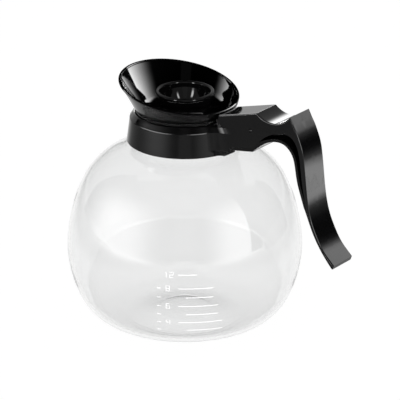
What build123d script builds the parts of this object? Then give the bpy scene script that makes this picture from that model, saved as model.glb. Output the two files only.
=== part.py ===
from build123d import *
import math
import os

# Round glass coffee decanter with a moulded neck collar and handle, a tilted
# dish-shaped pouring funnel and a lift-out brew cup.
# Millimetres. +Z up, Z = 0 is the plane it stands on, the Z axis is the axis of
# the glass. The handle points to +X and the high, pouring side of the dish to -X.

os.makedirs("parts", exist_ok=True)

# ------------------------------------------------------------------ dimensions
# glass
GLASS_T = 2.2            # wall of the globe
NECK_R = 30.6            # outside of the neck
NECK_RI = 28.2           # inside of the neck
NECK_Z0 = 128.5          # where the neck is straight
BEAD_R = 32.9            # rolled bead under the rim
RIM_Z = 144.5            # top of the glass
# half outline of the globe from foot to neck (r, z)
GLOBE = [(44.1, 0.95), (54.9, 3.7), (64.0, 9.3), (70.6, 17.9), (74.6, 27.8),
         (77.3, 38.0), (78.75, 48.5), (78.75, 59.0), (77.4, 69.5), (75.0, 79.8),
         (71.6, 90.0), (67.0, 99.8), (60.7, 108.5), (52.6, 115.5), (43.2, 120.5)]
SHOULDER_END = (34.9, 123.0)
FOOT_R0, FOOT_R1 = 33.0, 38.5   # flat ring it stands on
# push-up of the base from the axis to the foot ring (r, z)
KICK = [(8.0, 2.8), (14.0, 2.5), (18.0, 2.1), (21.0, 1.55), (24.0, 1.05), (28.5, 0.45)]
KICK_Z = 2.9
KICK_IN = [(9.0, 5.36), (14.0, 5.1), (18.0, 4.7), (21.0, 4.15), (24.0, 3.65), (29.0, 3.0), (36.0, 2.6), (43.7, 3.15)]
KICK_IN_Z = 5.5

# collar of the handle moulding
COL_Z0, COL_Z1 = 126.7, 147.0
COL_R0 = 38.6            # outside at the bottom
COL_R1 = 36.6            # outside at the shoulder
COL_SH_Z = 142.7         # where the shoulder starts
COL_TOP_R = 33.75        # outer edge of the top
COL_BORE = 33.3          # bore round the bead and the funnel's neck
COL_BORE0 = 35.3         # bore at the bottom

# arm and grip
ARM_W = 22.0             # width of arm and saddle
RIDGE = (65.8, 162.2)    # ridge between arm top and thumb saddle
SADDLE_MID = (76.6, 157.9)
HORN = (91.7, 164.9)     # top edge of the back plate
ARM_TOP_IN = (30.0, 152.6)
STRIP_T = 1.9            # thickness of the inner cover
STRIP_W = 22.4
# outer face of the back plate, top to bottom (x, z)
PLATE_OUT = [(94.4, 160.0), (96.8, 156.0), (98.7, 152.0), (100.4, 148.0), (101.7, 144.0),
             (103.1, 136.0), (104.1, 128.0), (105.0, 120.0), (106.1, 112.0), (107.7, 104.0),
             (110.2, 96.0), (114.0, 88.0), (118.9, 80.0)]
PLATE_END_OUT = (127.6, 71.2)
PLATE_END_IN = (126.6, 68.5)
# underside of the arm, arch and finger side of the grip (x, z)
ARM_UNDER0 = (38.9, 131.3)
ARM_UNDER1 = (63.4, 135.2)
ARCH = [(66.9, 138.6), (70.3, 141.3), (74.6, 143.9), (79.0, 145.5), (83.6, 146.1),
        (87.8, 145.4), (91.0, 143.4), (93.8, 140.2), (95.5, 136.4), (96.4, 132.6),
        (97.1, 128.6), (98.3, 122.6), (100.0, 117.0), (102.1, 111.0), (104.3, 105.0)]
GRIP_IN = [(106.9, 99.1), (110.2, 91.6), (114.2, 84.3), (119.1, 77.2)]
STRIP_END = (104.3, 105.0)
WEB_T = 5.4              # web left between the two side pockets
EDGE_R = 0.8             # rounding of the long edges of arm, saddle and back plate

# strap, sleeve and screw
SLEEVE_T = 1.1
BAND_T = 0.8
BAND_Z0, BAND_Z1 = 131.3, 139.2
EAR_Y = 2.2              # inner face of each ear
SCREW_X, SCREW_Z = 47.5, 141.5
M4_R = 2.0

# funnel
FUN_R = 32.8             # neck of the funnel above the collar
FLANGE_Z = 144.8
SKIRT_R, SKIRT_RI = 27.4, 25.4
SKIRT_Z0 = 129.5
LIP_R = 0.9              # rolled rim of the dish
DISH_T = 2.0
# sections of the dish, neck to rim: (z, centre x, radius, tilt in degrees)
DISH = [(148.4, 0.0, 32.8, 0.0), (150.6, -0.1, 34.1, 0.8), (153.3, -0.9, 35.5, 3.2),
        (156.4, -2.2, 37.2, 6.3), (159.4, -3.6, 38.9, 9.3), (162.0, -4.9, 40.2, 11.2)]
DISH_CLEAR_R = 41.9      # space kept in the arm for the rim of the dish

# brew cup
CUP_R = 19.7
CUP_LIP = 1.5
CUP_Z = 161.3            # top of the lip
LEDGE_Z = 138.0          # ledge in the funnel that carries the cup's ring


# --------------------------------------------------------------------- helpers
def v(p):
    return (p[0], 0, p[1])


def line(a, b):
    return Line(v(a), v(b))


def arc(a, m, b):
    return ThreePointArc(v(a), v(m), v(b))


def spl(pts, t0=None, t1=None):
    if t0 is None:
        return Spline(*[v(p) for p in pts])
    return Spline(*[v(p) for p in pts], tangents=[v(t0), v(t1)])


def face(edges):
    return make_face(edges)


def spin(edges):
    return revolve(face(edges), axis=Axis.Z, revolution_arc=360)


def slab(edges, w):
    # closed outline in XZ, given width in Y about the middle plane
    return extrude(face(edges), amount=w / 2, dir=(0, 1, 0), both=True)


def offset_pts(pts, d):
    # points moved by d to the left of the direction of travel
    out = []
    for i, (x, z) in enumerate(pts):
        a = pts[max(i - 1, 0)]
        b = pts[min(i + 1, len(pts) - 1)]
        tx, tz = b[0] - a[0], b[1] - a[1]
        n = math.hypot(tx, tz)
        out.append((x - tz / n * d, z + tx / n * d))
    return out


def tube(r, ri, z0, z1):
    return Pos(0, 0, z0) * (Cylinder(r, z1 - z0, align=(Align.CENTER, Align.CENTER, Align.MIN))
                            - Cylinder(ri, z1 - z0, align=(Align.CENTER, Align.CENTER, Align.MIN)))


def ycyl(x, z, r, y0, y1):
    c = Cylinder(r, y1 - y0, align=(Align.CENTER, Align.CENTER, Align.MIN))
    return Pos(x, y0, z) * Rot(-90, 0, 0) * c


def zcyl(x, y, r, z0, z1):
    return Pos(x, y, z0) * Cylinder(r, z1 - z0, align=(Align.CENTER, Align.CENTER, Align.MIN))


def box(x0, x1, y0, y1, z0, z1):
    return Pos((x0 + x1) / 2, (y0 + y1) / 2, (z0 + z1) / 2) * Box(x1 - x0, y1 - y0, z1 - z0)


def one(s):
    # the largest solid of a result
    return max(s.solids(), key=lambda q: q.volume)


parts = {}

# ------------------------------------------------------------------ glass bowl
outer = spl([(FOOT_R1, 0.0)] + GLOBE + [SHOULDER_END], (1, 0), (-0.955, 0.295))
neck_fillet = spl([SHOULDER_END, (31.7, 125.2), (NECK_R, NECK_Z0)], (-0.955, 0.295), (0, 1))
inner_pts = [(42.3, 118.4), (51.2, 113.7), (58.9, 107.1), (64.9, 98.9), (69.5, 89.2), (72.8, 79.2),
             (75.2, 69.1), (76.55, 58.8), (76.55, 48.7), (75.1, 38.4), (72.45, 28.6), (68.6, 19.0),
             (62.5, 11.0), (54.2, 5.85), (44.0, 3.3)]
inner = spl([(NECK_RI, NECK_Z0), (28.35, 126.7), (29.6, 123.9), (33.9, 121.2)] + inner_pts
            + KICK_IN[::-1][1:] + [(6.0, KICK_IN_Z - 0.02), (0.0, KICK_IN_Z)])
glass_out = spin([
    spl([(0.0, KICK_Z)] + KICK + [(FOOT_R0, 0.0)], (1, 0), (1, 0)),
    line((FOOT_R0, 0.0), (FOOT_R1, 0.0)),
    outer, neck_fillet,
    line((NECK_R, NECK_Z0), (NECK_R, 139.8)),
    arc((NECK_R, 139.8), (BEAD_R, 142.1), (30.9, RIM_Z)),
    arc((30.9, RIM_Z), (28.95, 143.75), (NECK_RI, 141.8)),
    line((NECK_RI, 141.8), (0.0, 141.8)),
    line((0.0, 141.8), (0.0, KICK_Z)),
])
glass_in = spin([
    line((0.0, 141.8), (NECK_RI, 141.8)),
    line((NECK_RI, 141.8), (NECK_RI, NECK_Z0)),
    inner,
    line((0.0, KICK_IN_Z), (0.0, 141.8)),
])
glass = one(glass_out - glass_in)
parts["glass_bowl"] = glass

# ------------------------------------------------- handle moulding with collar
collar = spin([
    line((COL_BORE0 + 0.3, COL_Z0), (COL_R0 - 0.5, COL_Z0)),
    arc((COL_R0 - 0.5, COL_Z0), (COL_R0 - 0.14, COL_Z0 + 0.14), (COL_R0, COL_Z0 + 0.5)),
    line((COL_R0, COL_Z0 + 0.5), (COL_R1, COL_SH_Z)),
    arc((COL_R1, COL_SH_Z), (36.45, 143.25), (36.15, 143.65)),
    line((36.15, 143.65), (34.35, 146.4)),
    arc((34.35, 146.4), (34.1, 146.75), (COL_TOP_R - 0.05, COL_Z1)),
    line((COL_TOP_R - 0.05, COL_Z1), (COL_BORE, COL_Z1)),
    line((COL_BORE, COL_Z1), (COL_BORE, 141.5)),
    line((COL_BORE, 141.5), (COL_BORE0, 128.2)),
    line((COL_BORE0, 128.2), (COL_BORE0 + 0.3, COL_Z0)),
])

under_spl = spl([ARM_UNDER1] + ARCH, (0.62, 0.78), (0.35, -0.94))
plate_out = spl([HORN] + PLATE_OUT + [PLATE_END_OUT], (0.53, -0.85), (0.72, -0.69))
saddle = arc(RIDGE, SADDLE_MID, HORN)
arm_profile = [
    line(ARM_TOP_IN, RIDGE), saddle, plate_out,
    line(PLATE_END_OUT, PLATE_END_IN),
    spl([PLATE_END_IN] + GRIP_IN[::-1] + [STRIP_END], (-0.68, 0.73), (-0.40, 0.92)),
    spl(ARCH[::-1] + [ARM_UNDER1], (-0.35, 0.94), (-0.62, -0.78)),
    line(ARM_UNDER1, (30.0, ARM_UNDER1[1] - (ARM_UNDER1[0] - 30.0) * 0.159)),
    line((30.0, ARM_UNDER1[1] - (ARM_UNDER1[0] - 30.0) * 0.159), ARM_TOP_IN),
]
arm = slab(arm_profile, ARM_W)


def side_edge(e):
    # edges of the two side faces along the arm top, the saddle, the back plate and its end
    c = e.position_at(0.5)
    on_side = abs(abs(c.Y) - ARM_W / 2) < 0.01
    return on_side and (c.Z > 147 or e.length > 90 or e.length < 4)


# rounded ridge, then rounded long edges
ridge_edge = [e for e in arm.edges() if abs(e.position_at(0.5).Y) < 0.01
              and math.hypot(e.position_at(0.5).X - RIDGE[0], e.position_at(0.5).Z - RIDGE[1]) < 0.6]
arm = arm.fillet(0.6, ridge_edge)
arm = arm.fillet(EDGE_R, [e for e in arm.edges() if side_edge(e)])

# inner cover: strip along underside, arch and finger side
slope = 0.159
u0 = ARM_UNDER0
n0 = (-slope / math.hypot(1, slope) * STRIP_T, 1 / math.hypot(1, slope) * STRIP_T)
k1 = (62.55, 137.0)      # inner corner of the strip at the bend
strip_profile = [
    line(u0, ARM_UNDER1),
    under_spl,
    line(STRIP_END, (105.3, 105.5)),
    spl([(105.3, 105.5)] + offset_pts([ARM_UNDER1] + ARCH, STRIP_T)[2:-1][::-1] + [k1],
        (-0.35, 0.94), (-0.62, -0.78)),
    line(k1, (u0[0] + n0[0], u0[1] + n0[1])),
    line((u0[0] + n0[0], u0[1] + n0[1]), u0),
]
strip = slab(strip_profile, STRIP_W)

# side pockets that leave an I section through arch and grip
pocket_profile = [
    spl([(67.6, 142.4), (74.0, 145.8), (79.0, 147.5), (83.7, 148.1), (88.6, 147.2), (92.4, 144.8),
         (95.5, 141.0), (97.3, 137.0), (98.3, 133.0), (99.0, 129.0), (100.2, 123.1),
         (101.8, 117.6), (103.6, 112.4)], (0.8, 0.6), (0.32, -0.95)),
    arc((103.6, 112.4), (104.0, 111.9), (104.0, 112.6)),
    spl([(104.0, 112.6), (103.0, 117.5), (101.8, 124.0), (101.0, 130.0), (100.2, 136.0), (98.8, 142.5),
         (96.3, 148.2), (92.4, 151.7), (87.5, 152.6), (81.0, 151.4), (75.0, 148.6), (70.0, 144.9), (67.6, 142.4)],
        (-0.2, 0.98), (-0.66, -0.75)),
]
pocket = slab(pocket_profile, ARM_W + 4) - slab(pocket_profile, WEB_T)

# hollow of the arm, open below, closed by the strip
hollow = slab([
    line((37.9, 133.15), (60.2, 136.65)),
    line((60.2, 136.65), (62.6, 139.3)),
    line((62.6, 139.3), (62.6, 152.6)),
    line((62.6, 152.6), (43.0, 149.6)),
    line((43.0, 149.6), (39.6, 148.6)),
    line((39.6, 148.6), (39.6, 141.5)),
    line((39.6, 141.5), (38.2, 141.3)),
    line((38.2, 141.3), (37.9, 133.15)),
], 15.6)
# slot from the hollow through the collar for the strap's ears
ear_slot = box(30.0, 41.0, -4.2, 4.2, 134.2, 141.0)

bosses = ycyl(SCREW_X, SCREW_Z, 5.6, -7.9, -3.4) + ycyl(SCREW_X, SCREW_Z, 5.6, 3.4, 7.9)
nut_pocket = Pos(SCREW_X, -3.4, SCREW_Z) * Rot(90, 0, 0) * extrude(
    RegularPolygon(radius=7.15 / 2 / math.cos(math.pi / 6), side_count=6), amount=3.5)
screw_post = zcyl(57.6, 0, 3.4, 136.5, 152.4)
post_keep = slab([
    line((52.0, 135.45), (60.2, 136.72)), line((60.2, 136.72), (62.6, 139.3)),
    line((62.6, 139.3), (62.6, 153.0)), line((62.6, 153.0), (52.0, 151.4)),
    line((52.0, 151.4), (52.0, 135.45))], 15.6)
screw_post = screw_post & post_keep

# hollow-cornered blend between the collar and each side of the arm
BLEND_R = 18.0


def blend_outline(z, rc, side, br=BLEND_R):
    k = ARM_W / 2
    s = rc + br
    cx = math.sqrt(s * s - (k + br) ** 2)
    p2 = (cx * rc / s, (k + br) * rc / s)
    dx, dy = -cx / s, -(k + br) / s - 1.0
    n = math.hypot(dx, dy)
    mid = (cx + br * dx / n, k + br + br * dy / n)
    q = [(31.0, k - 1.5), (cx, k - 1.5), (cx, k), mid, p2, (p2[0] * 0.9, p2[1] * 0.9)]
    q = [(x, side * y, z) for x, y in q]
    return make_face([Line(q[0], q[1]), Line(q[1], q[2]), ThreePointArc(q[2], q[3], q[4]),
                      Line(q[4], q[5]), Line(q[5], q[0])])


def collar_r(z):
    return COL_R0 + (COL_R1 - COL_R0) * (z - COL_Z0) / (COL_SH_Z - COL_Z0)


handle = collar + arm
for side in (-1, 1):
    for za, ra, zb, rb in ((131.2, collar_r(131.2), 143.0, 36.5), (143.0, 36.5, 146.4, 34.35)):
        web = loft([blend_outline(za, ra, side), blend_outline(zb, rb, side)], ruled=True)
        handle = handle + web
    # the blend narrows towards the bottom of the collar
    handle = handle + loft([blend_outline(126.9, collar_r(126.9), side, 5.0),
                            blend_outline(131.2, collar_r(131.2), side)], ruled=True)
handle = handle - Pos(0, 0, 100) * Cylinder(COL_BORE, 80, align=(Align.CENTER, Align.CENTER, Align.MIN))
# taper of the collar's bore below the shoulder
handle = handle - spin([
    line((0, 120), (COL_BORE0 + 0.3, 120)), line((COL_BORE0 + 0.3, 120), (COL_BORE0 + 0.3, COL_Z0)),
    line((COL_BORE0 + 0.3, COL_Z0), (COL_BORE0, 128.2)), line((COL_BORE0, 128.2), (COL_BORE, 141.5)),
    line((COL_BORE, 141.5), (0, 141.5)), line((0, 141.5), (0, 120))])
# room for the dish above the root of the arm
handle = handle - Pos(-4.9, 0, 151.4) * Cylinder(DISH_CLEAR_R, 30, align=(Align.CENTER, Align.CENTER, Align.MIN))
handle = handle - Pos(0, 0, 147.9) * Cylinder(35.7, 30, align=(Align.CENTER, Align.CENTER, Align.MIN))
handle = handle - strip - hollow - ear_slot
handle = handle + bosses + screw_post
handle = handle - nut_pocket - pocket
# screw head's way in from the far side, with a step for the plug
handle = handle - ycyl(SCREW_X, SCREW_Z, 4.1, 3.0, 12.0) - ycyl(SCREW_X, SCREW_Z, 5.0, ARM_W / 2 - 1.0, 12.0)
# holes for the cover screws
handle = handle - zcyl(57.6, 0, 1.5, 130.0, 147.0) - zcyl(83.6, 0, 1.5, 140.0, 155.5)
# shank clearance in the near boss behind the nut
handle = handle - ycyl(SCREW_X, SCREW_Z, 2.3, -9.3, -3.0)
# small moulding dimple on the near side
handle = handle - Pos(61.0, -ARM_W / 2 - 0.35, 149.3) * Sphere(1.25)
handle = one(handle)
parts["handle_body"] = handle

# ----------------------------------------------------------------- inner cover
cover = strip
for sx, zz in ((57.6, 134.27), (83.6, 146.1)):
    cover = cover - zcyl(sx, 0, 1.6, zz - 6, zz + 6)
    cover = cover - Pos(sx, 0, zz + 0.35) * Cone(2.95, 1.6, 1.35, align=(Align.CENTER, Align.CENTER, Align.MIN))
    cover = cover - zcyl(sx, 0, 2.95, zz - 5.0, zz + 0.35)
parts["inner_cover"] = one(cover)

screws = []
for sx, zz, top in ((57.6, 134.27, 145.5), (83.6, 146.1, 154.0)):
    s = Pos(sx, 0, zz + 0.4) * Cone(2.85, 1.4, 1.30, align=(Align.CENTER, Align.CENTER, Align.MIN))
    s = s + zcyl(sx, 0, 1.4, zz + 1.6, top - 1.5)
    s = s + Pos(sx, 0, top - 1.5) * Cone(1.4, 0.4, 1.5, align=(Align.CENTER, Align.CENTER, Align.MIN))
    s = s - box(sx - 1.7, sx + 1.7, -0.35, 0.35, zz + 0.2, zz + 1.1) - box(sx - 0.35, sx + 0.35, -1.7, 1.7, zz + 0.2, zz + 1.1)
    screws.append(one(s))
parts["cover_screws"] = Compound(children=screws)

# --------------------------------------------------------------- strap and ears
SL_R = NECK_R + SLEEVE_T
sleeve = tube(SL_R, NECK_R, BAND_Z0 - 0.8, BAND_Z1 + 0.4)
parts["neck_sleeve"] = one(sleeve)
BR = SL_R + BAND_T
band = tube(BR, SL_R, BAND_Z0, BAND_Z1)
band = band - box(20, 45, -EAR_Y - BAND_T, EAR_Y + BAND_T, 120, 150)
ears = None
for s in (1, -1):
    y0, y1 = sorted((s * EAR_Y, s * (EAR_Y + BAND_T)))
    prof = [line((31.3, 134.7), (52.6, 136.0)), line((52.6, 136.0), (52.6, 146.0)),
            line((52.6, 146.0), (42.6, 146.0)), line((42.6, 146.0), (41.3, 140.4)),
            line((41.3, 140.4), (39.9, 139.2)), line((39.9, 139.2), (31.3, 139.2)),
            line((31.3, 139.2), (31.3, 134.7))]
    e = Pos(0, (y0 + y1) / 2, 0) * slab(prof, BAND_T)
    e = e - Pos(0, 0, 120) * Cylinder(SL_R, 30, align=(Align.CENTER, Align.CENTER, Align.MIN))
    e = e - ycyl(SCREW_X, SCREW_Z, 2.2, y0 - 1, y1 + 1)
    band = band + e
parts["clamp_band"] = one(band)

# ------------------------------------------- screw, washer and nut of the strap
wy = EAR_Y + BAND_T
washer = ycyl(SCREW_X, SCREW_Z, 3.9, wy, wy + 0.8) - ycyl(SCREW_X, SCREW_Z, 2.15, wy - 1, wy + 2)
parts["clamp_washer"] = one(washer)
screw = ycyl(SCREW_X, SCREW_Z, M4_R, -7.6, wy + 0.9)
head = ycyl(SCREW_X, SCREW_Z, 3.5, wy + 0.8, wy + 3.4)
head = head - Pos(SCREW_X, wy + 3.4, SCREW_Z) * Rot(90, 0, 0) * extrude(RegularPolygon(radius=1.7, side_count=6), amount=1.7)
screw = screw + head
parts["clamp_screw"] = one(screw)
nut = Pos(SCREW_X, -3.45, SCREW_Z) * Rot(90, 0, 0) * (
    extrude(RegularPolygon(radius=7.0 / 2 / math.cos(math.pi / 6), side_count=6), amount=3.2)
    - Pos(0, 0, -1) * Cylinder(M4_R + 0.02, 6, align=(Align.CENTER, Align.CENTER, Align.MIN)))
parts["clamp_nut"] = one(nut)

# ------------------------------------------------------------------ screw plug
plug = ycyl(SCREW_X, SCREW_Z, 4.9, ARM_W / 2 - 1.0, ARM_W / 2) + ycyl(SCREW_X, SCREW_Z, 4.0, 7.3, ARM_W / 2 - 1.0)
plug = plug - ycyl(SCREW_X, SCREW_Z, 2.8, 6.0, 9.2)
parts["screw_plug"] = one(plug)

# --------------------------------------------------------------- pouring funnel
def dish_section(z, cx, r, tilt):
    pl = Plane(origin=(cx, 0, z), x_dir=(1, 0, 0), z_dir=(0, 0, 1)).rotated((0, tilt, 0))
    return pl * Circle(r)


def dish_loft(dr, z_low):
    secs = [dish_section(z_low, 0.0, DISH[0][2] + dr, 0.0)]
    for z, cx, r, t in DISH[1:]:
        secs.append(dish_section(z, cx, r + dr, t))
    return loft(secs)


neck_part = spin([
    line((SKIRT_RI, FLANGE_Z - 3.0), (SKIRT_R, FLANGE_Z - 3.0)),
    line((SKIRT_R, FLANGE_Z - 3.0), (SKIRT_R, FLANGE_Z)),
    line((SKIRT_R, FLANGE_Z), (FUN_R - 0.3, FLANGE_Z)),
    line((FUN_R - 0.3, FLANGE_Z), (FUN_R, FLANGE_Z + 0.3)),
    line((FUN_R, FLANGE_Z + 0.3), (FUN_R, DISH[0][0])),
    line((FUN_R, DISH[0][0]), (FUN_R - DISH_T, DISH[0][0])),
    arc((FUN_R - DISH_T, DISH[0][0]), (28.6, 145.9), (SKIRT_RI, FLANGE_Z - 0.6)),
    line((SKIRT_RI, FLANGE_Z - 0.6), (SKIRT_RI, FLANGE_Z - 3.0)),
])
dish_outer = dish_loft(0.0, DISH[0][0])
dish_inner = dish_loft(-DISH_T, DISH[0][0])
dish = dish_outer - dish_inner
rim_plane = Plane(origin=(DISH[-1][1], 0, DISH[-1][0]), x_dir=(1, 0, 0), z_dir=(0, 0, 1)).rotated((0, DISH[-1][3], 0))
rim = rim_plane * Torus(DISH[-1][2] - LIP_R + 0.2, LIP_R)
skirt = tube(SKIRT_R, SKIRT_RI, SKIRT_Z0, FLANGE_Z - 3.0)
# O-ring groove
skirt = skirt - tube(SKIRT_R + 1, SKIRT_R - 1.2, 133.9, 136.7)
ledge = tube(SKIRT_RI + 0.5, 22.6, LEDGE_Z - 2.0, LEDGE_Z)
funnel = neck_part + dish + rim + skirt + ledge
parts["pour_funnel"] = one(funnel)

seal = Pos(0, 0, 135.3) * Torus(26.75, 1.2)
seal = seal & tube(SKIRT_R + 0.5, SKIRT_R - 1.19, 133.95, 136.65)
parts["funnel_seal"] = one(seal)

# --------------------------------------------------------------------- brew cup
cup = spin([
    # inside, drip hole to lip
    line((3.2, 139.6), (3.2, 143.0)),
    spl([(3.2, 143.0), (7.0, 144.2), (11.4, 147.6), (14.6, 152.2), (16.2, 156.7), (16.7, 159.5)],
        (0.9, 0.3), (0.1, 1)),
    arc((16.7, 159.5), (18.2, CUP_Z), (CUP_R, 159.8)),
    arc((CUP_R, 159.8), (19.5, 158.8), (18.7, 158.2)),
    spl([(18.7, 158.2), (17.6, 154.4), (15.6, 149.5), (12.4, 145.0), (8.2, 142.3), (5.4, 141.4)],
        (-0.25, -0.97), (-0.95, -0.2)),
    line((5.4, 141.4), (5.4, 139.6)),
    line((5.4, 139.6), (3.2, 139.6)),
])
ring = tube(SKIRT_RI - 0.35, 22.9, LEDGE_Z + 0.3, LEDGE_Z + 2.6)
leg_prof = [
    line((4.6, 139.6), (23.4, 138.5)), line((23.4, 138.5), (23.4, 140.6)),
    spl([(23.4, 140.6), (18.0, 144.6), (16.4, 149.3), (17.4, 152.6)], (-0.9, 0.3), (0.3, 0.95)),
    line((17.4, 152.6), (12.0, 147.0)), line((12.0, 147.0), (6.0, 143.2)),
    line((6.0, 143.2), (4.6, 142.6)), line((4.6, 142.6), (4.6, 139.6))]
leg = slab(leg_prof, 1.8)
hollow_cup = spin([
    line((0, 139.0), (3.2, 139.0)), line((3.2, 139.0), (3.2, 143.0)),
    spl([(3.2, 143.0), (7.0, 144.2), (11.4, 147.6), (14.6, 152.2), (16.2, 156.7), (16.7, 159.5)],
        (0.9, 0.3), (0.1, 1)),
    line((16.7, 159.5), (16.7, 163.5)), line((16.7, 163.5), (0, 163.5)), line((0, 163.5), (0, 139.0))])
cup_all = cup + ring
for k in range(4):
    cup_all = cup_all + Rot(0, 0, 45 + 90 * k) * leg
cup_all = cup_all - hollow_cup
parts["brew_cup"] = one(cup_all)

# ------------------------------------------------------------------------ write
for name, shape in parts.items():
    export_step(shape, "parts/" + name + ".step")
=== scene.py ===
import math
import bpy
import bmesh
from mathutils import Matrix, Vector


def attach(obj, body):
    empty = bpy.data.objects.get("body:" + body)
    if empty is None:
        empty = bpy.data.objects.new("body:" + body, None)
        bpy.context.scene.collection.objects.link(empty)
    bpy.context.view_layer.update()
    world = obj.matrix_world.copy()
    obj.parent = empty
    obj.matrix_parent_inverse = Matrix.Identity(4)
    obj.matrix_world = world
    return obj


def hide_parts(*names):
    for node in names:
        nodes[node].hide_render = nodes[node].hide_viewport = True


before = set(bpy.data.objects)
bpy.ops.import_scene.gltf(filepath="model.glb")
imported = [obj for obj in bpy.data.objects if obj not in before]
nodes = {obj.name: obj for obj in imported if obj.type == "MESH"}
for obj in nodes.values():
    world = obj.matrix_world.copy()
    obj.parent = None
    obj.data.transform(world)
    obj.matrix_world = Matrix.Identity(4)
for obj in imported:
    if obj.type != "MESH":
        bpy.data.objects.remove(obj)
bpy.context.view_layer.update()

scene = bpy.context.scene


# ------------------------------------------------------------------ materials
def new_mat(name):
    m = bpy.data.materials.new(name)
    m.use_nodes = True
    nt = m.node_tree
    for n in list(nt.nodes):
        nt.nodes.remove(n)
    out = nt.nodes.new("ShaderNodeOutputMaterial")
    return m, nt, out


def add(nt, kind, **inputs):
    n = nt.nodes.new(kind)
    for k, val in inputs.items():
        n.inputs[k.replace("_", " ")].default_value = val
    return n


def noise(nt, scale, detail=3.0, rough=0.5, coord="Object"):
    tc = nt.nodes.new("ShaderNodeTexCoord")
    n = nt.nodes.new("ShaderNodeTexNoise")
    n.inputs["Scale"].default_value = scale
    n.inputs["Detail"].default_value = detail
    n.inputs["Roughness"].default_value = rough
    nt.links.new(tc.outputs[coord], n.inputs["Vector"])
    return n


def ramp(nt, src, stops, lo=0.0, hi=1.0):
    r = nt.nodes.new("ShaderNodeMapRange")
    r.inputs["From Min"].default_value = stops[0]
    r.inputs["From Max"].default_value = stops[1]
    r.inputs["To Min"].default_value = lo
    r.inputs["To Max"].default_value = hi
    nt.links.new(src, r.inputs["Value"])
    return r.outputs["Result"]


def bump(nt, height, strength, distance):
    b = nt.nodes.new("ShaderNodeBump")
    b.inputs["Strength"].default_value = strength
    b.inputs["Distance"].default_value = distance
    nt.links.new(height, b.inputs["Height"])
    return b.outputs["Normal"]


def plastic(name, base, rough_lo, rough_hi, ior=1.25, wave=0.00004):
    m, nt, out = new_mat(name)
    p = nt.nodes.new("ShaderNodeBsdfPrincipled")
    p.inputs["IOR"].default_value = ior
    # faint colour mottling of the moulding
    n1 = noise(nt, 60.0, 4.0)
    mix = nt.nodes.new("ShaderNodeMix")
    mix.data_type = "RGBA"
    mix.inputs["A"].default_value = (base * 0.85, base * 0.85, base * 0.9, 1)
    mix.inputs["B"].default_value = (base * 1.25, base * 1.25, base * 1.3, 1)
    nt.links.new(n1.outputs["Fac"], mix.inputs["Factor"])
    nt.links.new(mix.outputs["Result"], p.inputs["Base Color"])
    # gloss: fine haze with a few duller handled patches
    n2 = noise(nt, 35.0, 6.0, 0.6)
    nt.links.new(ramp(nt, n2.outputs["Fac"], (0.35, 0.75), rough_lo, rough_hi), p.inputs["Roughness"])
    # very slight waviness of the moulded skin
    n3 = noise(nt, 90.0, 2.0)
    nt.links.new(bump(nt, n3.outputs["Fac"], 0.25, wave), p.inputs["Normal"])
    nt.links.new(p.outputs["BSDF"], out.inputs["Surface"])
    return m


def steel(name, base=0.6, rough=0.25):
    m, nt, out = new_mat(name)
    p = nt.nodes.new("ShaderNodeBsdfPrincipled")
    p.inputs["Metallic"].default_value = 1.0
    n1 = noise(nt, 220.0, 5.0)
    mix = nt.nodes.new("ShaderNodeMix")
    mix.data_type = "RGBA"
    mix.inputs["A"].default_value = (base * 0.9, base * 0.9, base * 0.9, 1)
    mix.inputs["B"].default_value = (base * 1.1, base * 1.1, base * 1.08, 1)
    nt.links.new(n1.outputs["Fac"], mix.inputs["Factor"])
    nt.links.new(mix.outputs["Result"], p.inputs["Base Color"])
    # brushing runs round the strap: noise squeezed along Z
    tc = nt.nodes.new("ShaderNodeTexCoord")
    mp = nt.nodes.new("ShaderNodeMapping")
    mp.inputs["Scale"].default_value = (40.0, 40.0, 4000.0)
    n2 = nt.nodes.new("ShaderNodeTexNoise")
    n2.inputs["Scale"].default_value = 1.0
    n2.inputs["Detail"].default_value = 4.0
    nt.links.new(tc.outputs["Object"], mp.inputs["Vector"])
    nt.links.new(mp.outputs["Vector"], n2.inputs["Vector"])
    nt.links.new(ramp(nt, n2.outputs["Fac"], (0.3, 0.7), rough * 0.7, rough * 1.4), p.inputs["Roughness"])
    nt.links.new(bump(nt, n2.outputs["Fac"], 0.2, 0.00002), p.inputs["Normal"])
    nt.links.new(p.outputs["BSDF"], out.inputs["Surface"])
    return m


def silicone(name):
    m, nt, out = new_mat(name)
    p = nt.nodes.new("ShaderNodeBsdfPrincipled")
    n1 = noise(nt, 150.0, 4.0)
    mix = nt.nodes.new("ShaderNodeMix")
    mix.data_type = "RGBA"
    mix.inputs["A"].default_value = (0.66, 0.65, 0.62, 1)
    mix.inputs["B"].default_value = (0.78, 0.77, 0.75, 1)
    nt.links.new(n1.outputs["Fac"], mix.inputs["Factor"])
    nt.links.new(mix.outputs["Result"], p.inputs["Base Color"])
    nt.links.new(ramp(nt, n1.outputs["Fac"], (0.3, 0.7), 0.45, 0.65), p.inputs["Roughness"])
    nt.links.new(bump(nt, n1.outputs["Fac"], 0.3, 0.00003), p.inputs["Normal"])
    nt.links.new(p.outputs["BSDF"], out.inputs["Surface"])
    return m


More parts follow.
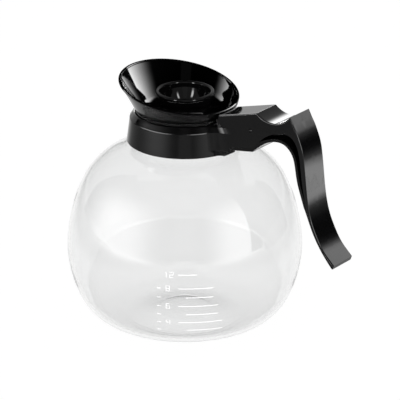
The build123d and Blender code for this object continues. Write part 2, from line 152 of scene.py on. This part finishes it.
def glass_mat(name):
    m, nt, out = new_mat(name)
    p = nt.nodes.new("ShaderNodeBsdfPrincipled")
    p.inputs["Transmission Weight"].default_value = 1.0
    p.inputs["IOR"].default_value = 1.47
    p.inputs["Specular IOR Level"].default_value = 0.5
    n1 = noise(nt, 14.0, 2.0)
    mix = nt.nodes.new("ShaderNodeMix")
    mix.data_type = "RGBA"
    mix.inputs["A"].default_value = (0.962, 0.964, 0.964, 1)
    mix.inputs["B"].default_value = (0.970, 0.972, 0.971, 1)
    nt.links.new(n1.outputs["Fac"], mix.inputs["Factor"])
    nt.links.new(mix.outputs["Result"], p.inputs["Base Color"])
    n2 = noise(nt, 45.0, 5.0, 0.6)
    nt.links.new(ramp(nt, n2.outputs["Fac"], (0.5, 0.8), 0.0, 0.008), p.inputs["Roughness"])
    # slow ripple of blown glass
    n3 = noise(nt, 22.0, 2.0, 0.4)
    nt.links.new(bump(nt, n3.outputs["Fac"], 0.08, 0.00002), p.inputs["Normal"])
    nt.links.new(p.outputs["BSDF"], out.inputs["Surface"])
    # the wall takes a little light, so its edges read darker
    va = nt.nodes.new("ShaderNodeVolumeAbsorption")
    va.inputs["Color"].default_value = (0.0, 0.012, 0.010, 1)
    va.inputs["Density"].default_value = 13.0
    nt.links.new(va.outputs["Volume"], out.inputs["Volume"])
    return m


BLACK = plastic("black_plastic_gloss", 0.0011, 0.03, 0.09)
BLACK_COVER = plastic("black_plastic_cover", 0.0015, 0.07, 0.16)
STEEL = steel("stainless")
SILICONE = silicone("silicone")
GLASS = glass_mat("clear_glass")


def paint(obj, mat):
    obj.data.materials.clear()
    obj.data.materials.append(mat)


for n in ("handle_body", "screw_plug", "pour_funnel", "brew_cup"):
    paint(nodes[n], BLACK)
paint(nodes["inner_cover"], BLACK_COVER)
for n in ("clamp_band", "clamp_screw", "clamp_washer", "clamp_nut", "cover_screws"):
    paint(nodes[n], STEEL)
for n in ("neck_sleeve", "funnel_seal"):
    paint(nodes[n], SILICONE)
paint(nodes["glass_bowl"], GLASS)


# ------------------------------------------------------------------ glass
# the blown glass as one smooth turned skin, outside and inside
def curve(points, steps):
    """Smooth line through the points, steps pieces between two of them."""
    out = []
    n = len(points)
    for i in range(n - 1):
        p0 = points[max(i - 1, 0)]
        p1, p2 = points[i], points[i + 1]
        p3 = points[min(i + 2, n - 1)]
        l1 = math.dist(p1, p2)
        l0 = math.dist(p0, p1) or l1
        l2 = math.dist(p2, p3) or l1
        for k in range(steps):
            t = k / steps
            q = []
            for a, b, c, d in zip(p0, p1, p2, p3):
                m1 = (c - a) / (l0 + l1) * l1 if i else (c - b)
                m2 = (d - b) / (l1 + l2) * l1 if i < n - 2 else (c - b)
                h = (2 * t ** 3 - 3 * t ** 2 + 1, t ** 3 - 2 * t ** 2 + t,
                     -2 * t ** 3 + 3 * t ** 2, t ** 3 - t ** 2)
                q.append(h[0] * b + h[1] * m1 + h[2] * c + h[3] * m2)
            out.append(tuple(q))
    out.append(points[-1])
    return out


GLOBE = [(38.5, 0.05), (44.1, 0.95), (54.9, 3.7), (64.0, 9.3), (70.6, 17.9), (74.6, 27.8),
         (77.3, 38.0), (78.75, 48.5), (78.75, 59.0), (77.4, 69.5), (75.0, 79.8),
         (71.6, 90.0), (67.0, 99.8), (60.7, 108.5), (52.6, 115.5), (43.2, 120.5),
         (34.9, 123.0), (31.7, 125.2), (30.6, 128.5)]
BEAD = [(30.6, 134.0), (30.6, 139.6), (31.6, 140.4), (32.55, 141.2), (32.9, 142.2), (32.5, 143.4),
        (31.6, 144.2), (30.7, 144.5), (29.7, 144.1), (28.9, 143.2), (28.2, 141.8), (28.2, 135.0)]
INSIDE = [(28.2, 128.5), (28.35, 126.7), (29.6, 123.9), (33.9, 121.2), (42.3, 118.4), (51.2, 113.7),
          (58.9, 107.1), (64.9, 98.9), (69.5, 89.2), (72.8, 79.2), (75.2, 69.1), (76.55, 58.8),
          (76.55, 48.7), (75.1, 38.4), (72.45, 28.6), (68.6, 19.0), (62.5, 11.0), (54.2, 5.85),
          (44.0, 3.3), (36.0, 2.6), (29.0, 3.0), (24.0, 3.65), (21.0, 4.15), (18.0, 4.7),
          (14.0, 5.1), (8.0, 5.4), (0.0, 5.5)]
FOOT = [(0.0, 2.9), (8.0, 2.8), (14.0, 2.5), (18.0, 2.1), (21.0, 1.55), (24.0, 1.05), (28.5, 0.45), (33.0, 0.02)]


def turned(name, profile, seg):
    """Mesh of a profile turned round Z. The first and the last point lie on the axis."""
    bm = bmesh.new()
    rows = []
    for r, z in profile:
        if r < 1e-6:
            rows.append([bm.verts.new((0, 0, z))])
        else:
            rows.append([bm.verts.new((r * math.cos(2 * math.pi * k / seg), r * math.sin(2 * math.pi * k / seg), z))
                         for k in range(seg)])
    for a, b in zip(rows, rows[1:]):
        for k in range(seg):
            k2 = (k + 1) % seg
            if len(a) == 1:
                bm.faces.new((a[0], b[k2], b[k]))
            elif len(b) == 1:
                bm.faces.new((a[k], a[k2], b[0]))
            else:
                bm.faces.new((a[k], a[k2], b[k2], b[k]))
    bmesh.ops.recalc_face_normals(bm, faces=bm.faces)
    me = bpy.data.meshes.new(name)
    bm.to_mesh(me)
    bm.free()
    for f in me.polygons:
        f.use_smooth = True
    o = bpy.data.objects.new(name, me)
    scene.collection.objects.link(o)
    return o


STEP = 6
SEG = 224
prof = (curve(FOOT, STEP) + [(35.5, 0.0)] + curve(GLOBE, STEP) + curve(BEAD, 3) + curve(INSIDE, STEP))
prof = [(r / 1000.0, z / 1000.0) for r, z in prof]
bowl = turned("glass_skin", prof, SEG)
paint(bowl, GLASS)
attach(bowl, "decanter")
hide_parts("glass_bowl")

# ------------------------------------------------------------------ print
# level marks and plain numbers, printed in white on the outside of the globe
def white_print_painted_glow(name):
    m, nt, out = new_mat(name)
    p = nt.nodes.new("ShaderNodeBsdfPrincipled")
    n1 = noise(nt, 900.0, 3.0)
    mix = nt.nodes.new("ShaderNodeMix")
    mix.data_type = "RGBA"
    mix.inputs["A"].default_value = (0.86, 0.86, 0.86, 1)
    mix.inputs["B"].default_value = (0.95, 0.95, 0.95, 1)
    nt.links.new(n1.outputs["Fac"], mix.inputs["Factor"])
    nt.links.new(mix.outputs["Result"], p.inputs["Base Color"])
    nt.links.new(ramp(nt, n1.outputs["Fac"], (0.3, 0.7), 0.4, 0.6), p.inputs["Roughness"])
    # painted glow: the white print emits a little light of its own, so it stays white where it is in shade, as seen
    # from behind the globe
    p.inputs["Emission Color"].default_value = (1, 1, 1, 1)
    p.inputs["Emission Strength"].default_value = 0.3
    nt.links.new(p.outputs["BSDF"], out.inputs["Surface"])
    return m


SKIN = [(r, z) for r, z in curve(GLOBE, 8)]


def skin_r(z):
    """Radius of the outside of the globe at height z (mm)."""
    for (r0, z0), (r1, z1) in zip(SKIN, SKIN[1:]):
        if z0 <= z <= z1:
            return r0 + (r1 - r0) * (z - z0) / max(z1 - z0, 1e-6)
    return SKIN[-1][0]


def on_skin(s_mm, z, az):
    """Point on the globe: s_mm along the circle from the azimuth az, at height z, just off the glass."""
    r = skin_r(z)
    a = math.radians(az) + s_mm / r
    return ((r + 0.06) * math.sin(a) / 1000, -(r + 0.06) * math.cos(a) / 1000, z / 1000)


# plain digits as strokes on a 4 x 6 grid
DIGITS = {
    "0": [[(0, 0), (4, 0), (4, 6), (0, 6), (0, 0)]],
    "1": [[(1, 5), (2, 6), (2, 0)]],
    "2": [[(0, 6), (4, 6), (4, 3), (0, 3), (0, 0), (4, 0)]],
    "4": [[(0, 6), (0, 3), (4, 3)], [(4, 6), (4, 0)]],
    "6": [[(4, 6), (0, 6), (0, 0), (4, 0), (4, 3), (0, 3)]],
    "8": [[(0, 0), (4, 0), (4, 6), (0, 6), (0, 0)], [(0, 3), (4, 3)]],
}
marks_bm = bmesh.new()


def stroke(a, b, width, az):
    """Ribbon on the globe from a to b, each (mm along the circle, height in mm)."""
    dx, dz = b[0] - a[0], b[1] - a[1]
    n = math.hypot(dx, dz)
    px_, pz_ = -dz / n * width / 2, dx / n * width / 2
    steps = max(1, int(n / 1.5))
    last = None
    for k in range(steps + 1):
        t = k / steps
        c0 = (a[0] + dx * t, a[1] + dz * t)
        pair = [marks_bm.verts.new(on_skin(c0[0] + px_, c0[1] + pz_, az)),
                marks_bm.verts.new(on_skin(c0[0] - px_, c0[1] - pz_, az))]
        if last:
            marks_bm.faces.new((last[0], last[1], pair[1], pair[0]))
        last = pair


def write_number(text, s0, z0, h, az, width=0.35):
    u = h / 6.0
    x = s0
    for ch in text:
        for path in DIGITS[ch]:
            for p0, p1 in zip(path, path[1:]):
                stroke((x + p0[0] * u, z0 + p0[1] * u), (x + p1[0] * u, z0 + p1[1] * u), width, az)
        x += 5.6 * u


# one scale on the near side: a long line and a number every two cups, short ones between
SCALE_AZ = 36.0
for k, z in enumerate((20.0, 26.5, 33.0, 39.5, 46.0, 52.5)):
    long = k % 2 == 1
    stroke((-17.0, z), (-14.5, z), 0.5, SCALE_AZ)
    stroke((-3.0 if long else 2.0, z), (26.0 - 3.0 * (k // 2), z), 0.5, SCALE_AZ)
for text, z in (("4", 24.8), ("6", 37.8), ("8", 50.8)):
    write_number(text, -11.0, z, 3.6, SCALE_AZ)
write_number("12", -12.0, 60.2, 3.6, SCALE_AZ)
stroke((-3.0, 62.0), (9.0, 62.0), 0.5, SCALE_AZ)
marks_me = bpy.data.meshes.new("level_marks")
marks_bm.to_mesh(marks_me)
marks_bm.free()
marks = bpy.data.objects.new("level_marks", marks_me)
scene.collection.objects.link(marks)
paint(marks, white_print_painted_glow("white_print_painted_glow"))
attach(marks, "decanter")

# ------------------------------------------------------------------ stage
def dome_card(name, az0, az1, el0, el1, strength, soft=(0.3, 0.3), radius=1.5, centre=(0, 0, 0.08), sheer=False):
    """A curved soft light panel on a sphere round the object, dimming towards its edges.

    A sheer panel adds its light and lets what stands behind it through.
    """
    nu, nv = 24, 16
    pts, uvs, faces = [], [], []
    for j in range(nv + 1):
        for i in range(nu + 1):
            u, v_ = i / nu, j / nv
            a = math.radians(az0 + (az1 - az0) * u)
            e = math.radians(el0 + (el1 - el0) * v_)
            pts.append((centre[0] + radius * math.sin(a) * math.cos(e),
                        centre[1] - radius * math.cos(a) * math.cos(e),
                        centre[2] + radius * math.sin(e)))
            uvs.append((u, v_))
    for j in range(nv):
        for i in range(nu):
            k = j * (nu + 1) + i
            faces.append((k, k + nu + 1, k + nu + 2, k + 1))
    me = bpy.data.meshes.new(name)
    me.from_pydata(pts, [], faces)
    layer = me.uv_layers.new(name="uv")
    for lp in me.loops:
        layer.data[lp.index].uv = uvs[lp.vertex_index]
    o = bpy.data.objects.new(name, me)
    scene.collection.objects.link(o)
    m, nt, out = new_mat(name + "_light")
    em = nt.nodes.new("ShaderNodeEmission")
    tc = nt.nodes.new("ShaderNodeTexCoord")
    sep = nt.nodes.new("ShaderNodeSeparateXYZ")
    nt.links.new(tc.outputs["UV"], sep.inputs["Vector"])

    def edge(sock, s0, s1):
        parts = []
        for lo, hi in ((0.0, s0), (1.0, 1.0 - s1)):
            r = nt.nodes.new("ShaderNodeMapRange")
            r.interpolation_type = "SMOOTHERSTEP"
            r.inputs["From Min"].default_value = lo
            r.inputs["From Max"].default_value = hi
            nt.links.new(sock, r.inputs["Value"])
            parts.append(r.outputs["Result"])
        mu = nt.nodes.new("ShaderNodeMath")
        mu.operation = "MULTIPLY"
        nt.links.new(parts[0], mu.inputs[0])
        nt.links.new(parts[1], mu.inputs[1])
        return mu.outputs[0]

    su = soft[0] if isinstance(soft[0], tuple) else (soft[0], soft[0])
    sv = soft[1] if isinstance(soft[1], tuple) else (soft[1], soft[1])
    mul = nt.nodes.new("ShaderNodeMath")
    mul.operation = "MULTIPLY"
    nt.links.new(edge(sep.outputs["X"], *su), mul.inputs[0])
    nt.links.new(edge(sep.outputs["Y"], *sv), mul.inputs[1])
    sc_ = nt.nodes.new("ShaderNodeMath")
    sc_.operation = "MULTIPLY"
    sc_.inputs[1].default_value = strength
    nt.links.new(mul.outputs[0], sc_.inputs[0])
    nt.links.new(sc_.outputs[0], em.inputs["Strength"])
    last = em.outputs["Emission"]
    if sheer:
        through = nt.nodes.new("ShaderNodeBsdfTransparent")
        both = nt.nodes.new("ShaderNodeAddShader")
        nt.links.new(last, both.inputs[0])
        nt.links.new(through.outputs[0], both.inputs[1])
        last = both.outputs[0]
    nt.links.new(last, out.inputs["Surface"])
    me.materials.append(m)
    o.visible_camera = False
    o.visible_shadow = False
    o.visible_transmission = False
    return o


CAM_DEG = 36.96


def floor():
    me = bpy.data.meshes.new("floor")
    s = 14.0
    me.from_pydata([(-s, -s, 0), (s, -s, 0), (s, s, 0), (-s, s, 0)], [], [(0, 1, 2, 3)])
    o = bpy.data.objects.new("floor", me)
    scene.collection.objects.link(o)
    m, nt, out = new_mat("pale_floor")
    em = nt.nodes.new("ShaderNodeEmission")
    em.inputs["Color"].default_value = (1, 1, 1, 1)
    # the sweep is lit most in a wide lane that runs back under the object and dims to both sides
    tc = nt.nodes.new("ShaderNodeTexCoord")
    mp = nt.nodes.new("ShaderNodeMapping")
    mp.vector_type = "POINT"
    mp.inputs["Rotation"].default_value = (0, 0, -math.radians(36.96))
    nt.links.new(tc.outputs["Object"], mp.inputs["Vector"])
    sep = nt.nodes.new("ShaderNodeSeparateXYZ")
    nt.links.new(mp.outputs["Vector"], sep.inputs["Vector"])
    ab = nt.nodes.new("ShaderNodeMath")
    ab.operation = "ABSOLUTE"
    nt.links.new(sep.outputs["X"], ab.inputs[0])
    # width of the lane grows with the distance
    dy = nt.nodes.new("ShaderNodeMath")
    dy.operation = "MULTIPLY_ADD"
    dy.inputs[1].default_value = 0.075
    dy.inputs[2].default_value = 0.17
    nt.links.new(sep.outputs["Y"], dy.inputs[0])
    mx = nt.nodes.new("ShaderNodeMath")
    mx.operation = "MAXIMUM"
    mx.inputs[1].default_value = 0.17
    nt.links.new(dy.outputs[0], mx.inputs[0])
    rat = nt.nodes.new("ShaderNodeMath")
    rat.operation = "DIVIDE"
    nt.links.new(ab.outputs[0], rat.inputs[0])
    nt.links.new(mx.outputs[0], rat.inputs[1])
    fall = nt.nodes.new("ShaderNodeMapRange")
    fall.interpolation_type = "SMOOTHSTEP"
    fall.inputs["From Min"].default_value = 1.0
    fall.inputs["From Max"].default_value = 2.2
    fall.inputs["To Min"].default_value = 1.0
    fall.inputs["To Max"].default_value = 0.55
    nt.links.new(rat.outputs[0], fall.inputs["Value"])
    # a narrow wedge in front, outside the picture, is dimmer: painted shade in the floor's glow
    fx = nt.nodes.new("ShaderNodeMapRange")
    fx.interpolation_type = "SMOOTHSTEP"
    fx.inputs["From Min"].default_value = 0.02
    fx.inputs["From Max"].default_value = 0.14
    nt.links.new(ab.outputs[0], fx.inputs["Value"])
    fy = nt.nodes.new("ShaderNodeMapRange")
    fy.interpolation_type = "SMOOTHSTEP"
    fy.inputs["From Min"].default_value = -0.34
    fy.inputs["From Max"].default_value = -0.19
    nt.links.new(sep.outputs["Y"], fy.inputs["Value"])
    fz = nt.nodes.new("ShaderNodeMapRange")
    fz.interpolation_type = "SMOOTHSTEP"
    fz.inputs["From Min"].default_value = -0.55
    fz.inputs["From Max"].default_value = -0.85
    nt.links.new(sep.outputs["Y"], fz.inputs["Value"])
    ends = nt.nodes.new("ShaderNodeMath")
    ends.operation = "MAXIMUM"
    nt.links.new(fy.outputs["Result"], ends.inputs[0])
    nt.links.new(fz.outputs["Result"], ends.inputs[1])
    either = nt.nodes.new("ShaderNodeMath")
    either.operation = "MAXIMUM"
    nt.links.new(fx.outputs["Result"], either.inputs[0])
    nt.links.new(ends.outputs[0], either.inputs[1])
    wedge = nt.nodes.new("ShaderNodeMapRange")
    wedge.inputs["To Min"].default_value = 0.45
    wedge.inputs["To Max"].default_value = 1.0
    nt.links.new(either.outputs[0], wedge.inputs["Value"])
    dim = nt.nodes.new("ShaderNodeMath")
    dim.operation = "MULTIPLY"
    nt.links.new(fall.outputs["Result"], dim.inputs[0])
    nt.links.new(wedge.outputs["Result"], dim.inputs[1])
    # two pools of painted light under the side panels
    total = dim.outputs[0]
    for az, dist, size, level in ((CAM_DEG - 60, 1.25, 1.0, 2.4), (CAM_DEG + 50, 1.25, 1.0, 1.7)):
        a = math.radians(az)
        vd = nt.nodes.new("ShaderNodeVectorMath")
        vd.operation = "DISTANCE"
        vd.inputs[1].default_value = (math.sin(a) * dist, -math.cos(a) * dist, 0.0)
        nt.links.new(tc.outputs["Object"], vd.inputs[0])
        pr = nt.nodes.new("ShaderNodeMapRange")
        pr.interpolation_type = "SMOOTHERSTEP"
        pr.inputs["From Min"].default_value = 0.0
        pr.inputs["From Max"].default_value = size
        pr.inputs["To Min"].default_value = level
        pr.inputs["To Max"].default_value = 0.0
        nt.links.new(vd.outputs["Value"], pr.inputs["Value"])
        sm = nt.nodes.new("ShaderNodeMath")
        sm.operation = "ADD"
        nt.links.new(total, sm.inputs[0])
        nt.links.new(pr.outputs["Result"], sm.inputs[1])
        total = sm.outputs[0]
    nt.links.new(total, em.inputs["Strength"])
    df = nt.nodes.new("ShaderNodeBsdfDiffuse")
    df.inputs["Color"].default_value = (0.12, 0.12, 0.12, 1)
    ad = nt.nodes.new("ShaderNodeAddShader")
    nt.links.new(em.outputs[0], ad.inputs[0])
    nt.links.new(df.outputs[0], ad.inputs[1])
    nt.links.new(ad.outputs[0], out.inputs["Surface"])
    me.materials.append(m)
    o.location.z = -0.0004
    return o


floor()

w = bpy.data.worlds.new("studio")
scene.world = w
w.use_nodes = True
wn = w.node_tree
bg = wn.nodes.get("Background") or wn.nodes.new("ShaderNodeBackground")
bg.inputs["Color"].default_value = (1, 1, 1, 1)
bg.inputs["Strength"].default_value = 0.18

# ------------------------------------------------------------------ camera
AZ, EL, DIST = math.radians(36.9553), math.radians(22.5596), 1.8665
FPX = 2773.09
TARGET = Vector((0, 0, 0.0535))
PX = (184.913, 240.738)
back = Vector((math.sin(AZ) * math.cos(EL), -math.cos(AZ) * math.cos(EL), math.sin(EL)))
right = Vector((math.cos(AZ), math.sin(AZ), 0))
up = back.cross(right)
loc = TARGET + back * DIST
fwd = (-back * FPX + right * (200.0 - PX[0]) + up * (PX[1] - 200.0)).normalized()
zc = -fwd
xc = up.cross(zc).normalized()
yc = zc.cross(xc)
cam_data = bpy.data.cameras.new("camera")
cam_data.sensor_width = 36.0
cam_data.sensor_fit = "HORIZONTAL"
cam_data.lens = FPX / 400.0 * 36.0
cam_data.clip_start = 0.05
cam_data.clip_end = 60.0
cam = bpy.data.objects.new("camera", cam_data)
scene.collection.objects.link(cam)
cam.matrix_world = Matrix((
    (xc.x, yc.x, zc.x, loc.x), (xc.y, yc.y, zc.y, loc.y), (xc.z, yc.z, zc.z, loc.z), (0, 0, 0, 1)))
scene.camera = cam

# ------------------------------------------------------------------ lights
CAM_AZ = 36.96


def lights_only(card, names, others=()):
    """Let a panel light the named CAD nodes and the other given objects, and nothing else."""
    col = bpy.data.collections.new(card.name + "_lit")
    for n in names:
        col.objects.link(nodes[n])
    for ob in others:
        col.objects.link(ob)
    card.light_linking.receiver_collection = col


BODY = ("handle_body", "inner_cover", "screw_plug")
CLEAR = (bowl, marks)
# strips that draw the thin lines of light on the rounded edges of the moulding
for k, (a0, a1, level) in enumerate(((-104, -14, 15.0), (9, 60, 12.0))):
    lights_only(dome_card("edge_strip_%d" % k, CAM_AZ + a0, CAM_AZ + a1, 1, 32, level, ((0.25, 0.25), (0.25, 0.4)),
                          radius=1.1, sheer=True), ("handle_body",))
# light from behind, mirrored by the flat top of the arm
lights_only(dome_card("top_strip", CAM_AZ + 140, CAM_AZ + 220, 6, 42, 8.5, ((0.45, 0.45), (0.45, 0.45)),
                      radius=1.1, sheer=True), ("handle_body",))
# faint all-round light inside the cup
lights_only(dome_card("cup_fill", CAM_AZ - 180, CAM_AZ + 180, 2, 70, 0.6, ((0.01, 0.01), (0.1, 0.3)),
                      radius=0.9, sheer=True), ("brew_cup",))
lights_only(dome_card("panel_left", CAM_AZ - 124, CAM_AZ - 13, -4, 56, 4.4, ((0.5, 0.5), (0.01, 0.8))), BODY, CLEAR)
lights_only(dome_card("panel_right", CAM_AZ + 11, CAM_AZ + 97, -4, 56, 4.2, ((0.5, 0.5), (0.01, 0.78))), BODY, CLEAR)
# pale backdrop behind
lights_only(dome_card("backdrop", CAM_AZ + 98, CAM_AZ + 262, -3, 84, 0.95, ((0.08, 0.08), (0.01, 0.2)), radius=2.2),
            ("handle_body", "inner_cover", "screw_plug"), CLEAR)
# panels flagged so that they reach the dish only: one behind on the handle's side, one far left
lights_only(dome_card("panel_back", CAM_AZ + 70, CAM_AZ + 128, 3, 50, 24.0, ((0.97, 0.02), (0.1, 0.3)), radius=0.5,
                      sheer=True), ("pour_funnel",))
lights_only(dome_card("panel_side", CAM_AZ - 118, CAM_AZ - 72, 4, 40, 16.0, ((0.03, 0.95), (0.15, 0.3)), radius=1.2,
                      sheer=True), ("pour_funnel",))
# four narrow strips mirrored by the inside of the cup
for k, (az, el, wide, level) in enumerate(((101, 8, 18, 40.0), (38, 34, 14, 30.0), (-39, 27, 15, 36.0), (-84, 4, 18, 36.0))):
    lights_only(dome_card("strip_%d" % k, CAM_AZ + az - wide / 2, CAM_AZ + az + wide / 2, el - 16, el + 18, level,
                          ((0.4, 0.4), (0.4, 0.4)), radius=1.0, sheer=True), ("brew_cup",))


def banded_card(name, centre, normal, w, h0, h1, stops):
    """Upright panel whose light changes with height: stops are (height in m, radiance)."""
    nz = Vector(normal).normalized()
    xdir = Vector((0, 0, 1)).cross(nz).normalized()
    me = bpy.data.meshes.new(name)
    pts = []
    for u, z in ((-1, h0), (1, h0), (1, h1), (-1, h1)):
        q = Vector((centre[0], centre[1], 0)) + xdir * (u * w / 2)
        pts.append((q.x, q.y, z))
    me.from_pydata(pts, [], [(0, 1, 2, 3)])
    o = bpy.data.objects.new(name, me)
    scene.collection.objects.link(o)
    m, nt, out = new_mat(name + "_light")
    em = nt.nodes.new("ShaderNodeEmission")
    tc = nt.nodes.new("ShaderNodeTexCoord")
    sep = nt.nodes.new("ShaderNodeSeparateXYZ")
    nt.links.new(tc.outputs["Object"], sep.inputs["Vector"])
    mr = nt.nodes.new("ShaderNodeMapRange")
    mr.inputs["From Min"].default_value = h0
    mr.inputs["From Max"].default_value = h1
    nt.links.new(sep.outputs["Z"], mr.inputs["Value"])
    cr = nt.nodes.new("ShaderNodeValToRGB")
    peak = max(r for _, r in stops)
    els = cr.color_ramp.elements
    els[0].position, els[1].position = 0.0, 1.0
    for k, (h, r) in enumerate(stops):
        pos = (h - h0) / (h1 - h0)
        if k == 0:
            e = els[0]
        elif k == len(stops) - 1:
            e = els[len(els) - 1]
        else:
            e = els.new(pos)
        e.position = pos
        e.color = (r / peak, r / peak, r / peak, 1)
    nt.links.new(mr.outputs["Result"], cr.inputs["Fac"])
    mu = nt.nodes.new("ShaderNodeMath")
    mu.operation = "MULTIPLY"
    mu.inputs[1].default_value = peak
    nt.links.new(cr.outputs["Color"], mu.inputs[0])
    nt.links.new(mu.outputs[0], em.inputs["Strength"])
    nt.links.new(em.outputs["Emission"], out.inputs["Surface"])
    me.materials.append(m)
    o.visible_camera = False
    o.visible_shadow = False
    o.visible_transmission = False
    return o


# banded panel behind the handle, which the polished back plate mirrors
lights_only(banded_card("panel_plate", (0.43, 0.41), (-0.61, -0.79, 0), 0.40, 0.001, 0.50, (
    (0.001, 6.5), (0.014, 6.2), (0.028, 2.9), (0.038, 1.1), (0.055, 0.5), (0.077, 0.28), (0.11, 0.07),
    (0.17, 0.0), (0.21, 0.02), (0.23, 0.25), (0.255, 1.0), (0.275, 2.2), (0.30, 3.6), (0.32, 5.6),
    (0.36, 6.6), (0.41, 6.4), (0.43, 1.2), (0.45, 0.0), (0.50, 0.0))), ("handle_body", "inner_cover"))

# its glow on the floor in front of it
glow_me = bpy.data.meshes.new("plate_glow")
gx, gy = 0.79, -0.61
glow_me.from_pydata([(0.43 - 0.61 * t + gx * u, 0.41 - 0.79 * t + gy * u, 0.0008)
                     for t, u in ((0.0, -0.07), (0.0, 0.07), (0.28, 0.05), (0.28, -0.05))], [], [(0, 1, 2, 3)])
glow = bpy.data.objects.new("plate_glow", glow_me)
scene.collection.objects.link(glow)
glow_mat, gnt, gout = new_mat("plate_glow_light")
gem = gnt.nodes.new("ShaderNodeEmission")
gem.inputs["Strength"].default_value = 5.6
gtr = gnt.nodes.new("ShaderNodeBsdfTransparent")
gad = gnt.nodes.new("ShaderNodeAddShader")
gnt.links.new(gem.outputs[0], gad.inputs[0])
gnt.links.new(gtr.outputs[0], gad.inputs[1])
gnt.links.new(gad.outputs[0], gout.inputs["Surface"])
glow_me.materials.append(glow_mat)
glow.visible_camera = False
glow.visible_shadow = False
glow.visible_transmission = False
lights_only(glow, ("handle_body", "inner_cover"))

scene.view_settings.view_transform = "Standard"
scene.view_settings.look = "None"
scene.view_settings.exposure = 0.0
scene.view_settings.gamma = 1.0
scene.cycles.max_bounces = 16
scene.cycles.transmission_bounces = 14
scene.cycles.transparent_max_bounces = 12
scene.cycles.glossy_bounces = 6
scene.cycles.caustics_reflective = False
scene.cycles.caustics_refractive = False
scene.cycles.use_denoising = True
